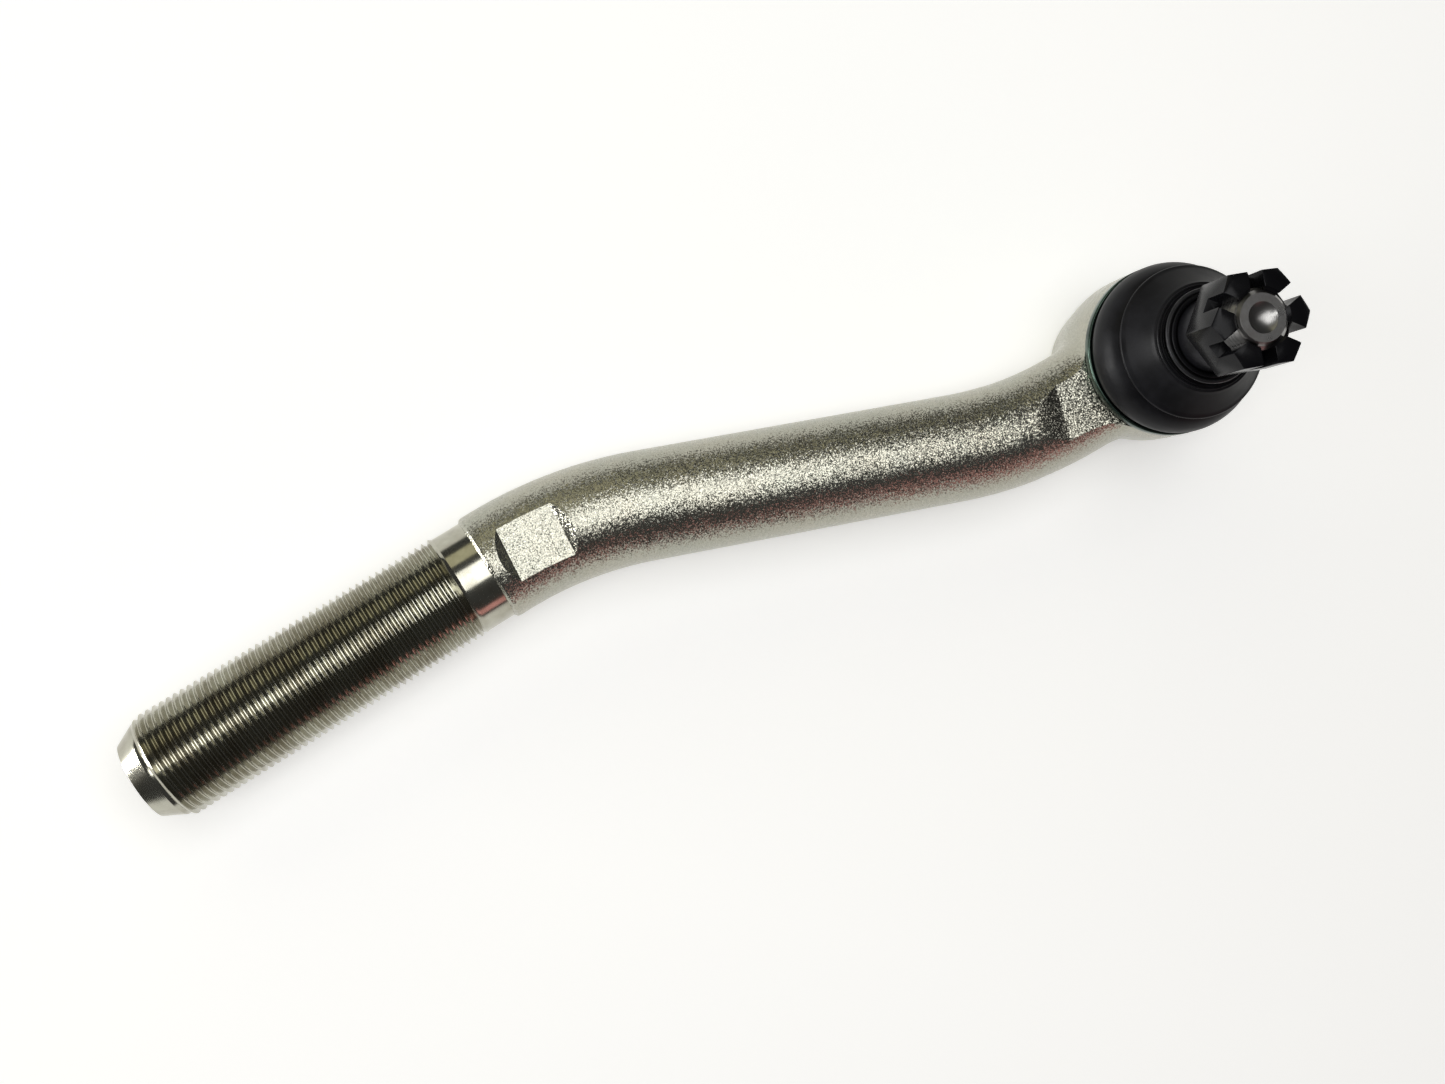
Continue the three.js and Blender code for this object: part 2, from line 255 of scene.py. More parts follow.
@dataclass(frozen=True)
class Thread:
    """A right-hand metric thread round Z, in millimetres, in the range that its limit leaves.

    The helical surface is spun with a lead, then each point is kept between the floor and
    the ceiling that the two functions of z give, which makes run-outs and chamfers.
    """

    crest_r: float
    pitch: float
    from_z: float
    to_z: float
    ceiling: Callable[[float], float]
    floor: Callable[[float], float]
    segments: int = 96

    def build(self) -> BMesh:
        """Spins the ridge, trims its ends and closes them.

        Returns:
            The threaded solid, in millimetres, with its faces outwards.
        """
        root_r, crest_r = self.crest_r - THREAD_DEPTH * self.pitch, self.crest_r
        start = self.from_z - 2 * self.pitch
        turns = math.ceil((self.to_z - start) / self.pitch) + 1
        ridge = ((0.0, root_r), (0.1, root_r), (0.5, crest_r), (0.6, crest_r), (1.0, root_r))
        bm = bmesh.new()
        verts = [bm.verts.new((r, 0, start + share * self.pitch)) for share, r in ridge]
        for a, b in zip(verts, verts[1:]):
            bm.edges.new((a, b))
        bmesh.ops.spin(
            bm, geom=bm.verts[:] + bm.edges[:], cent=(0, 0, 0), axis=(0, 0, 1),
            dvec=(0, 0, self.pitch / self.segments), angle=math.tau, steps=self.segments,
            use_merge=False,
        )
        made = 1
        while made < turns:
            copy = bmesh.ops.duplicate(bm, geom=bm.verts[:] + bm.edges[:] + bm.faces[:])
            moved = [g for g in copy["geom"] if isinstance(g, BMVert)]
            bmesh.ops.translate(bm, verts=moved, vec=(0, 0, made * self.pitch))
            made *= 2
        bmesh.ops.remove_doubles(bm, verts=bm.verts, dist=TURN_SEAM)
        for vert in bm.verts:
            r = math.hypot(vert.co.x, vert.co.y)
            wanted = min(max(r, self.floor(vert.co.z)), self.ceiling(vert.co.z))
            vert.co.x *= wanted / r
            vert.co.y *= wanted / r
        for height, outward in ((self.from_z, -1), (self.to_z, 1)):
            cut = bmesh.ops.bisect_plane(
                bm, geom=bm.verts[:] + bm.edges[:] + bm.faces[:], dist=1e-5,
                plane_co=(0, 0, height), plane_no=(0, 0, outward), clear_outer=True,
            )
            rim = [g for g in cut["geom_cut"] if isinstance(g, BMEdge)]
            rim_verts = list({v for e in rim for v in e.verts})
            bmesh.ops.remove_doubles(bm, verts=rim_verts, dist=1e-3)
            open_rim = [
                e for e in bm.edges
                if e.is_boundary and all(abs(v.co.z - height) < 1e-3 for v in e.verts)
            ]
            bmesh.ops.holes_fill(bm, edges=open_rim, sides=0)
        bmesh.ops.recalc_face_normals(bm, faces=bm.faces)
        return bm


# ---------------------------------------------------------------- finishes


def srgb(code: str) -> tuple[float, float, float, float]:
    """Turns an sRGB hex colour into linear RGBA.

    Args:
        code: Six hex digits, with or without a leading hash.

    Returns:
        Linear red, green, blue and an alpha of one.
    """
    digits = code.lstrip("#")
    channels = (int(digits[i:i + 2], 16) / 255 for i in (0, 2, 4))
    linear = (c / 12.92 if c <= 0.04045 else ((c + 0.055) / 1.055) ** 2.4 for c in channels)
    return (*linear, 1.0)


def add_node(
    tree: NodeTree,
    kind: str,
    values: dict[str, Any] | None = None,
    links: dict[str, NodeSocket] | None = None,
    **settings: Any,
) -> Node:
    """Adds a node with its settings, its constant inputs and its links.

    Args:
        tree: The tree it goes into.
        kind: The node's type name.
        values: Constants by the input's identifier or name.
        links: Output sockets by the input's identifier or name.
        **settings: The node's own properties.

    Returns:
        The new node.
    """
    node = tree.nodes.new(kind)
    for key, value in settings.items():
        setattr(node, key, value)
    by_name = {s.name: s for s in reversed(node.inputs) if s.enabled}
    by_name.update({s.identifier: s for s in node.inputs})
    for key, value in (values or {}).items():
        by_name[key].default_value = value
    for key, socket in (links or {}).items():
        tree.links.new(socket, by_name[key])
    return node


def output(node: Node, key: str) -> NodeSocket:
    """Finds a node's output by identifier or name."""
    return next(s for s in node.outputs if s.identifier == key or (s.enabled and s.name == key))


@dataclass(frozen=True)
class Finish:
    """What every finish has: a name, a start of its tree and a surface shader."""

    def start(self, name: str) -> tuple[Material, NodeTree, NodeSocket]:
        """Makes an empty material that reads Object coordinates.

        Args:
            name: The material's name.

        Returns:
            The material, its node tree and the coordinate socket.
        """
        material = bpy.data.materials.new(name)
        material.use_nodes = True
        tree = material.node_tree
        tree.nodes.clear()
        place = add_node(tree, "ShaderNodeTexCoord")
        return material, tree, output(place, "Object")

    def close(
        self,
        tree: NodeTree,
        values: dict[str, Any],
        links: dict[str, NodeSocket],
    ) -> None:
        """Adds the surface shader and the output.

        Args:
            tree: The material's tree.
            values: Constants of the surface shader.
            links: Links into the surface shader.
        """
        shader = add_node(tree, "ShaderNodeBsdfPrincipled", values, links)
        add_node(tree, "ShaderNodeOutputMaterial", links={"Surface": output(shader, "BSDF")})


@dataclass(frozen=True)
class ShotBlastedZinc(Finish):
    """Forged steel, shot-blasted and zinc plated with a clear, faintly green-yellow passivate.

    Each dimple is a small facet with a tilt of its own, which gives a salt-and-pepper sparkle.
    The passivate gives slow drifts of green and straw.
    """

    name: str = "shot_blasted_zinc"
    dimple: float = 0.28         # mm across, as left by the steel shot
    tilt: float = 0.37           # spread of the dimples' normals
    drift: float = 16.0          # mm, patches of the passivate's tint
    dimple_depth: float = 0.05   # mm

    def material(self) -> Material:
        """Builds the finish and returns its material."""
        material, tree, place = self.start(self.name)
        cells = add_node(
            tree, "ShaderNodeTexVoronoi",
            {"Scale": 1 / (self.dimple * MM), "Randomness": 1.0}, {"Vector": place},
        )
        shift = add_node(
            tree, "ShaderNodeVectorMath", {"Vector_001": (0.5, 0.5, 0.5)},
            {"Vector": output(cells, "Color")}, operation="SUBTRACT",
        )
        lean = add_node(
            tree, "ShaderNodeVectorMath", {"Scale": self.tilt}, {"Vector": output(shift, "Vector")},
            operation="SCALE",
        )
        grain = add_node(
            tree, "ShaderNodeTexNoise",
            {"Scale": 1 / (self.dimple * MM), "Detail": 3.0, "Roughness": 0.6}, {"Vector": place},
        )
        bump = add_node(
            tree, "ShaderNodeBump", {"Strength": 1.0, "Distance": self.dimple_depth * MM},
            {"Height": output(grain, "Fac")},
        )
        leaning = add_node(
            tree, "ShaderNodeVectorMath", {},
            {"Vector": output(bump, "Normal"), "Vector_001": output(lean, "Vector")},
            operation="ADD",
        )
        normal = add_node(
            tree, "ShaderNodeVectorMath", {}, {"Vector": output(leaning, "Vector")},
            operation="NORMALIZE",
        )
        drift = add_node(
            tree, "ShaderNodeTexNoise",
            {"Scale": 1 / (self.drift * MM), "Detail": 3.0, "Roughness": 0.55}, {"Vector": place},
        )
        tint = add_node(
            tree, "ShaderNodeMix", {"A_Color": srgb("#b0b2a6"), "B_Color": srgb("#bbb6a6")},
            {"Factor_Float": output(drift, "Fac")}, data_type="RGBA",
        )
        fleck = add_node(
            tree, "ShaderNodeMapRange",
            {"From Min": 0.3, "From Max": 0.62, "To Min": 0.66, "To Max": 1.0},
            {"Value": output(grain, "Fac")},
        )
        colour = add_node(
            tree, "ShaderNodeVectorMath", links={
                "Vector": output(tint, "Result_Color"), "Scale": output(fleck, "Result"),
            }, operation="SCALE",
        )
        rough = add_node(
            tree, "ShaderNodeMapRange",
            {"From Min": 0.3, "From Max": 0.7, "To Min": 0.26, "To Max": 0.15},
            {"Value": output(grain, "Fac")},
        )
        self.close(
            tree, {"Metallic": 1.0},
            {"Base Color": output(colour, "Vector"), "Roughness": output(rough, "Result"),
             "Normal": output(normal, "Vector")},
        )
        return material
@dataclass(frozen=True)
class Film:
    """Slow patches in a surface's colour and gloss, as oil, wax or a passivate leaves them."""

    light: str
    dark: str
    size: float                                  # mm across a patch
    gloss: tuple[float, float]                   # roughness, from patch to patch
    detail: float = 4.0
    coarse: float = 0.6
    spread: tuple[float, float] = (0.35, 0.65)   # range of the noise between the two colours

    def build(
        self, tree: NodeTree, place: NodeSocket,
    ) -> tuple[NodeSocket, NodeSocket]:
        """Adds the patches to a material.

        Args:
            tree: The material's tree.
            place: Its coordinate socket.

        Returns:
            The colour and the roughness.
        """
        patch = add_node(
            tree, "ShaderNodeTexNoise",
            {"Scale": 1 / (self.size * MM), "Detail": self.detail, "Roughness": self.coarse},
            {"Vector": place},
        )
        share = add_node(
            tree, "ShaderNodeMapRange", {"From Min": self.spread[0], "From Max": self.spread[1]},
            {"Value": output(patch, "Fac")},
        )
        tint = add_node(
            tree, "ShaderNodeMix", {"A_Color": srgb(self.light), "B_Color": srgb(self.dark)},
            {"Factor_Float": output(share, "Result")}, data_type="RGBA",
        )
        rough = add_node(
            tree, "ShaderNodeMapRange",
            {"From Min": 0.3, "From Max": 0.7, "To Min": self.gloss[0], "To Max": self.gloss[1]},
            {"Value": output(patch, "Fac")},
        )
        return output(tint, "Result_Color"), output(rough, "Result")


@dataclass(frozen=True)
class TurnedMetal(Finish):
    """Metal cut on a lathe: bright, with fine rings of the tool's feed round the axis.

    The two tints drift slowly, as a plating's passivate or a film of oil does.
    """

    name: str
    light: str
    dark: str
    roughness: float
    feed: float = 0.22           # mm between tool marks
    mark_depth: float = 0.006    # mm
    drift: float = 9.0           # mm
    along_x: bool = False        # true where the lathe's axis is X, false where it is Z
    axis_y: float = 0.0          # mm, the axis's distance from X

    def material(self) -> Material:
        """Builds the finish and returns its material."""
        material, tree, place = self.start(self.name)
        cut = {
            "Scale": WAVE_TURN / (self.feed * MM), "Distortion": 0.6, "Detail": 2.0,
            "Detail Scale": 0.4,
        }
        axis = "X" if self.along_x else "Z"
        marks = add_node(
            tree, "ShaderNodeTexWave", cut, {"Vector": place}, wave_type="BANDS",
            bands_direction=axis,
        )
        centred = add_node(
            tree, "ShaderNodeMapping", {"Location": (0, -self.axis_y * MM, 0)}, {"Vector": place},
        )
        rings = add_node(
            tree, "ShaderNodeTexWave", cut, {"Vector": output(centred, "Vector")},
            wave_type="RINGS", rings_direction=axis,
        )
        both = add_node(
            tree, "ShaderNodeMath", {},
            {"Value": output(marks, "Fac"), "Value_001": output(rings, "Fac")}, operation="ADD",
        )
        gloss = (self.roughness * 0.8, self.roughness * 1.25)
        colour, rough = Film(self.light, self.dark, self.drift, gloss).build(tree, place)
        bump = add_node(
            tree, "ShaderNodeBump", {"Strength": 0.6, "Distance": self.mark_depth * MM},
            {"Height": output(both, "Value")},
        )
        self.close(
            tree, {"Metallic": 1.0},
            {"Base Color": colour, "Roughness": rough, "Normal": output(bump, "Normal")},
        )
        return material


@dataclass(frozen=True)
class CoatedSteel(Finish):
    """Steel under a thin dark or tinted film, such as black oxide, phosphate or passivate.

    The film hides the tool marks, gathers oil in slow patches and shows a fine etched grain.
    """

    name: str
    light: str
    dark: str
    roughness: float
    metallic: float = 1.0
    grain: float = 0.3           # mm
    grain_depth: float = 0.008   # mm
    patch: float = 5.0           # mm
    specular: float = 0.5

    def material(self) -> Material:
        """Builds the finish and returns its material."""
        material, tree, place = self.start(self.name)
        fine = add_node(
            tree, "ShaderNodeTexNoise", {"Scale": 1 / (self.grain * MM), "Detail": 3.0},
            {"Vector": place},
        )
        gloss = (self.roughness * 0.75, self.roughness * 1.3)
        colour, rough = Film(self.light, self.dark, self.patch, gloss).build(tree, place)
        bump = add_node(
            tree, "ShaderNodeBump", {"Strength": 0.6, "Distance": self.grain_depth * MM},
            {"Height": output(fine, "Fac")},
        )
        self.close(
            tree, {"Metallic": self.metallic, "Specular IOR Level": self.specular},
            {"Base Color": colour, "Roughness": rough, "Normal": output(bump, "Normal")},
        )
        return material


@dataclass(frozen=True)
class MouldedRubber(Finish):
    """Black chloroprene, moulded: satin, with a fine mould grain and a trace of bloom."""

    name: str = "moulded_rubber"
    grain: float = 0.35          # mm
    grain_depth: float = 0.012   # mm
    bloom: float = 7.0           # mm, patches of wax on the surface

    def material(self) -> Material:
        """Builds the finish and returns its material."""
        material, tree, place = self.start(self.name)
        fine = add_node(
            tree, "ShaderNodeTexNoise", {"Scale": 1 / (self.grain * MM), "Detail": 3.0},
            {"Vector": place},
        )
        film = Film("#0d0d0f", "#18181b", self.bloom, (0.36, 0.5), 5.0, 0.65, (0.4, 0.75))
        colour, rough = film.build(tree, place)
        bump = add_node(
            tree, "ShaderNodeBump", {"Strength": 0.5, "Distance": self.grain_depth * MM},
            {"Height": output(fine, "Fac")},
        )
        self.close(
            tree, {"Specular IOR Level": 0.13, "Sheen Weight": 0.01, "Sheen Roughness": 0.4},
            {"Base Color": colour, "Roughness": rough, "Normal": output(bump, "Normal")},
        )
        return material


@dataclass(frozen=True)
class GreasedAcetal(Finish):
    """Natural acetal, machined, with a film of grease: creamy, waxy, a little translucent."""

    name: str = "greased_acetal"
    smear: float = 4.0           # mm, patches of grease

    def material(self) -> Material:
        """Builds the finish and returns its material."""
        material, tree, place = self.start(self.name)
        grease = add_node(
            tree, "ShaderNodeTexNoise", {"Scale": 1 / (self.smear * MM), "Detail": 4.0},
            {"Vector": place},
        )
        tint = add_node(
            tree, "ShaderNodeMix", {"A_Color": srgb("#ece8da"), "B_Color": srgb("#d8cda8")},
            {"Factor_Float": output(grease, "Fac")}, data_type="RGBA",
        )
        rough = add_node(
            tree, "ShaderNodeMapRange", {"To Min": 0.25, "To Max": 0.5},
            {"Value": output(grease, "Fac")},
        )
        self.close(
            tree, {"IOR": 1.48},
            {"Base Color": output(tint, "Result_Color"), "Roughness": output(rough, "Result")},
        )
        return material


ZINC_FORGING = ShotBlastedZinc()
ZINC_THREAD = TurnedMetal(
    "machined_zinc", "#b7b6a9", "#9d998a", roughness=0.16, along_x=True, axis_y=48.0,
)
ZINC_PRESSING = CoatedSteel(
    "pressed_zinc", "#c9c9bd", "#b5b6a6", roughness=0.33, grain=0.5, grain_depth=0.012,
)
BARE_STEEL = TurnedMetal("turned_bare_steel", "#8f8e8c", "#6d6b69", roughness=0.32, feed=0.28)
STUD_BLACK = CoatedSteel(
    "heat_blackened_steel", "#2a2a2e", "#1d1d21", roughness=0.33, metallic=0.7,
)
BLACK_OXIDE = CoatedSteel(
    "oiled_black_oxide", "#131315", "#0d0d0f", roughness=0.22, metallic=0.2, patch=9.0,
    specular=0.14,
)
RING_STEEL = CoatedSteel("green_passivated_steel", "#4c5c53", "#333f39", roughness=0.24)
RING_WIRE = CoatedSteel("phosphated_wire", "#2b2b2d", "#1c1c1e", roughness=0.42, metallic=0.6)
SPRING_STEEL = CoatedSteel("greased_spring_steel", "#5a5a5c", "#3b3a38", roughness=0.3)
RUBBER = MouldedRubber()
ACETAL = GreasedAcetal()


# ---------------------------------------------------------------- pieces


@dataclass
class Piece:
    """What every piece shares: a body to ride on, a material slot and a finish."""

    body: str = "housing"
    slot: str = ""

    def dress(self, obj: Object, finish: Finish, nodes: Sequence[str]) -> None:
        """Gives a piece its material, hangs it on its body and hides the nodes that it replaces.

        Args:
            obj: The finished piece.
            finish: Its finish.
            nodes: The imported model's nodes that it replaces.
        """
        obj.data.materials.clear()
        obj.data.materials.append(finish.material())
        if self.body:
            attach(obj, self.body)
        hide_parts(*nodes)
        LOG.info("%s: %d faces", obj.name, len(obj.data.polygons))


@dataclass
class Forging(Piece):
    """The forged housing: cranked bar, spanner flats, neck facet and the eye for the ball joint."""

    slot: str = "zinc_forging"
    bar_r: float = 15.5
    offset: float = 48.0
    bend_r: float = 115.0
    bend_deg: float = 21.0
    bend_start_x: float = -191.0
    end_x: float = -195.5
    eye_r: float = 24.4
    eye_top_z: float = 13.2
    eye_bottom_z: float = -22.6
    collar_r: float = 20.4
    collar_top_z: float = 18.0
    facet_x: float = -36.0
    facet_run: float = 10.0
    facet_turn_deg: float = -16.0
    flat_across: float = 27.0
    flat_x: float = -181.0
    flat_length: float = 15.8
    flat_runout: float = 2.8
    lip_r: float = 17.2
    groove_r: float = 18.4
    groove_from_z: float = -21.6
    groove_to_z: float = -18.6
    bore_r: float = 17.4
    roof_z: float = 11.7
    throat_r: float = 14.7
    mouth_r: float = 17.6
    chamfer_r: float = 14.6
    chamfer: float = 3.4
    web_half: float = 13.6       # half the height of the web
    web_steps: int = 11
    web_overlap: float = 0.05
    web_root: tuple[float, float] = (-8.0, 15.0)
    wall_taper: float = 0.13     # how fast the eye's wall narrows downwards
    web_bite: float = 0.2        # how far the web runs into the eye's wall
    fillet_left: float = 4.0
    fillet_right: float = 11.0
    voxel: float = 0.75
    skin_rounds: int = 4
    neck_from_x: float = -48.0
    neck_to_x: float = -6.0
    neck_rounds: int = 36

    def bar(self) -> Object:
        """Extrudes the round bar's section through both bends.

        Returns:
            The bar as a closed solid.
        """
        segments = 96
        bm = bmesh.new()
        bmesh.ops.create_circle(bm, cap_ends=True, radius=self.bar_r, segments=segments)
        turn_and_shift(bm, 90, "Y", (self.end_x, self.offset, 0))
        face = bm.faces[:][0]
        angle = math.radians(self.bend_deg)
        heading = 0.0
        centre = Vector((self.end_x, self.offset, 0))

        def grow() -> list[BMVert]:
            """Extrudes the leading face and returns the new one's vertices."""
            nonlocal face
            first = len(bm.faces) == 1
            grown = bmesh.ops.extrude_face_region(bm, geom=[face], use_keep_orig=first)
            old = face
            face = next(g for g in grown["geom"] if isinstance(g, BMFace))
            # Only the very first face stays, as the bar's end. Later ones would lie inside.
            if old.is_valid and len(bm.faces) > segments + 2:
                bm.faces.remove(old)
            return list(face.verts)

        def straight(length: float) -> None:
            """Adds a straight stretch along the heading."""
            nonlocal centre
            step = Vector((math.cos(heading), math.sin(heading), 0)) * length
            bmesh.ops.translate(bm, verts=grow(), vec=step)
            centre = centre + step

        def bend(turn: float, steps: int) -> None:
            """Adds a bend that turns the heading by the signed angle."""
            nonlocal centre, heading
            side = math.copysign(1, turn)
            pivot = centre + Vector((-math.sin(heading), math.cos(heading), 0)) * side * self.bend_r
            for _ in range(steps):
                matrix = Matrix.Rotation(turn / steps, 3, "Z")
                bmesh.ops.rotate(bm, verts=grow(), cent=pivot, matrix=matrix)
                centre = pivot + matrix @ (centre - pivot)
                heading += turn / steps

        drop = self.bend_r * (1 - math.cos(angle))
        slope_length = (self.offset - 2 * drop) / math.sin(angle)
        straight(self.bend_start_x - self.end_x)
        bend(-angle, 16)
        straight(slope_length)
        bend(angle, 16)
        straight(-centre.x)
        bmesh.ops.holes_fill(bm, edges=[e for e in bm.edges if e.is_boundary], sides=0)
        bmesh.ops.recalc_face_normals(bm, faces=bm.faces)
        return link_mesh(bm, "forged_shank")

    def eye_blank(self) -> Object:
        """Spins the eye before it is faced and bored."""
        corners = [
            Corner(0, self.eye_bottom_z), Corner(19.6, self.eye_bottom_z, 0.7),
            Corner(20.6, -20.6, 0.9), Corner(21.9, -15, 2.0), Corner(23.3, -8, 2.4),
            Corner(self.eye_r, -1, 2.4), Corner(self.eye_r, 8, 1.5),
            Corner(24.0, self.eye_top_z - 0.8, 0.3), Corner(23.6, self.eye_top_z + 3),
            Corner(0, self.eye_top_z + 3),
        ]
        return link_mesh(turned(corners, closed=False), "eye_blank")

    def web_level(self, low: float, high: float) -> Object:
        """Extrudes one slab of the web that flares from the bar into the eye.

        Each side of the slab is an arc that touches the bar's side and the eye's wall.

        Args:
            low: Height of the slab's underside.
            high: Height of its upper side.

        Returns:
            The slab as a closed solid.
        """
        middle = (low + high) / 2
        half = math.sqrt(self.bar_r ** 2 - middle ** 2)
        wall = self.eye_r - max(0.0, -middle) * self.wall_taper - self.web_bite
        steps, start = 8, -math.pi / 2
        root_x, root_y = self.web_root
        outline: list[Point] = []
        for side, fillet in ((1, self.fillet_left), (-1, self.fillet_right)):
            x = -math.sqrt((wall + fillet) ** 2 - (half + fillet) ** 2)
            toward_eye = math.atan2(-(half + fillet), -x)
            arc = [
                (x + fillet * math.cos(a), side * (half + fillet + fillet * math.sin(a)), low)
                for a in (start + (toward_eye - start) * i / steps for i in range(steps + 1))
            ]
            edge = [*arc, (root_x, side * root_y, low)]
            outline += edge[::-1] if side < 0 else edge
        return link_mesh(prism(outline, (0, 0, high - low)), "web_level")

    def facet_cutter(self) -> Object:
        """Wedge that levels the bar's crown in front of the eye, with a slope down to it."""
        depth = self.bar_r - self.eye_top_z
        top = 3 * depth
        side = -2 * self.eye_r
        outline = [
            (0, side, 0), (2 * self.eye_r, side, 0), (2 * self.eye_r, side, top),
            (-self.facet_run * top / depth, side, top),
        ]
        bm = prism(outline, (0, 4 * self.eye_r, 0))
        turn_and_shift(bm, self.facet_turn_deg, "Z", (self.facet_x, 0, self.eye_top_z))
        return link_mesh(bm, "facet_cutter")

    def flat_cutter(self, side: int) -> Object:
        """Cutter for one spanner flat, with a sloping wall at each end.

        Args:
            side: 1 for the flat above the bar, -1 for the one below.

        Returns:
            The cutter as a closed solid.
        """
        half = self.flat_length / 2
        level = self.flat_across / 2
        reach = 3.0
        spread = self.flat_runout / (self.bar_r - level) * reach
        outline = [
            (-half, -self.bar_r, side * level), (half, -self.bar_r, side * level),
            (half + spread, -self.bar_r, side * (level + reach)),
            (-half - spread, -self.bar_r, side * (level + reach)),
        ]
        bm = prism(outline, (0, 2 * self.bar_r, 0))
        heading = (self.bend_start_x - self.flat_x) / self.bend_r
        y = self.offset - self.bend_r * (1 - math.cos(heading))
        turn_and_shift(bm, math.degrees(heading), "Z", (self.flat_x, y, 0))
        return link_mesh(bm, "flat_cutter")

    def smooth_neck(self, obj: Object) -> None:
        """Relaxes the remeshed skin, lightly on the bar and strongly where it meets the eye.

        Args:
            obj: The remeshed blank, in metres.
        """
        bm = bmesh.new()
        bm.from_mesh(obj.data)

        def relax(verts: Sequence[BMVert], rounds: int) -> None:
            """Smooths some vertices, alike along all three axes."""
            for _ in range(rounds):
                bmesh.ops.smooth_vert(
                    bm, verts=verts, factor=0.5, use_axis_x=True, use_axis_y=True, use_axis_z=True,
                )

        relax(bm.verts[:], self.skin_rounds)
        reach = (self.eye_top_z + 2.5) * MM
        relax([
            v for v in bm.verts
            if self.neck_from_x * MM < v.co.x < self.neck_to_x * MM and abs(v.co.z) < reach
        ], self.neck_rounds)
        bm.to_mesh(obj.data)
        bm.free()

    def machine_end(self, obj: Object) -> None:
        """Cuts the forging off square at its threaded end and chamfers the corner.

        Args:
            obj: The forging.
        """
        clear = 100.0
        outline = [
            (x, -clear, z) for x, z in (
                (-4 * clear, -clear / 2), (self.end_x, -clear / 2), (self.end_x, clear / 2),
                (-4 * clear, clear / 2),
            )
        ]
        combine(obj, link_mesh(prism(outline, (0, 3 * clear, 0)), "shoulder"), Join.CUT)
        over, inner, outer = 0.3 - self.end_x, self.chamfer_r, self.chamfer_r + self.chamfer
        start = -self.end_x - 0.1
        profile = [
            Corner(inner, over), Corner(inner, start), Corner(outer, start - self.chamfer),
            Corner(outer, over),
        ]
        chamfer = turned(profile, segments=96)
        turn_and_shift(chamfer, -90, "Y", (0, self.offset, 0))
        combine(obj, link_mesh(chamfer, "end_chamfer"), Join.CUT)

    def build(self) -> Object:
        """Forges the blank, then machines it.

        Returns:
            The finished forging without its threaded end.
        """
        obj = self.bar()
        combine(obj, self.eye_blank(), Join.ADD)
        heights = [
            -self.web_half + 2 * self.web_half * i / self.web_steps
            for i in range(self.web_steps + 1)
        ]
        for low, high in zip(heights, heights[1:]):
            slab = self.web_level(low - self.web_overlap, high + self.web_overlap)
            combine(obj, slab, Join.ADD)
        remesh = obj.modifiers.new("skin", "REMESH")
        remesh.mode = "VOXEL"
        remesh.voxel_size = self.voxel * MM
        settle(obj)
        self.smooth_neck(obj)
        self.machine_end(obj)
        combine(obj, self.facet_cutter(), Join.CUT)
        collar_from = self.eye_top_z - 2
        collar = [
            Corner(0, collar_from), Corner(self.collar_r, collar_from),
            Corner(self.collar_r, self.collar_top_z, 0.4), Corner(0, self.collar_top_z),
        ]
        combine(obj, link_mesh(turned(collar, closed=False, segments=96), "collar"), Join.ADD)
        below, above = self.eye_bottom_z - 1, self.collar_top_z + 1
        bore = [
            Corner(0, below), Corner(18.0, below), Corner(self.lip_r, self.eye_bottom_z, 0.3),
            Corner(self.lip_r, self.groove_from_z), Corner(self.groove_r, self.groove_from_z),
            Corner(self.groove_r, self.groove_to_z), Corner(self.bore_r, self.groove_to_z),
            Corner(self.bore_r, self.roof_z), Corner(self.throat_r, self.roof_z),
            Corner(self.mouth_r, above), Corner(0, above),
        ]
        combine(obj, link_mesh(turned(bore, closed=False, segments=96), "bore"), Join.CUT)
        for side in (1, -1):
            combine(obj, self.flat_cutter(side), Join.CUT)
        crisp(obj, 24)
        self.dress(obj, ZINC_FORGING, ["forged_housing"])
        return obj


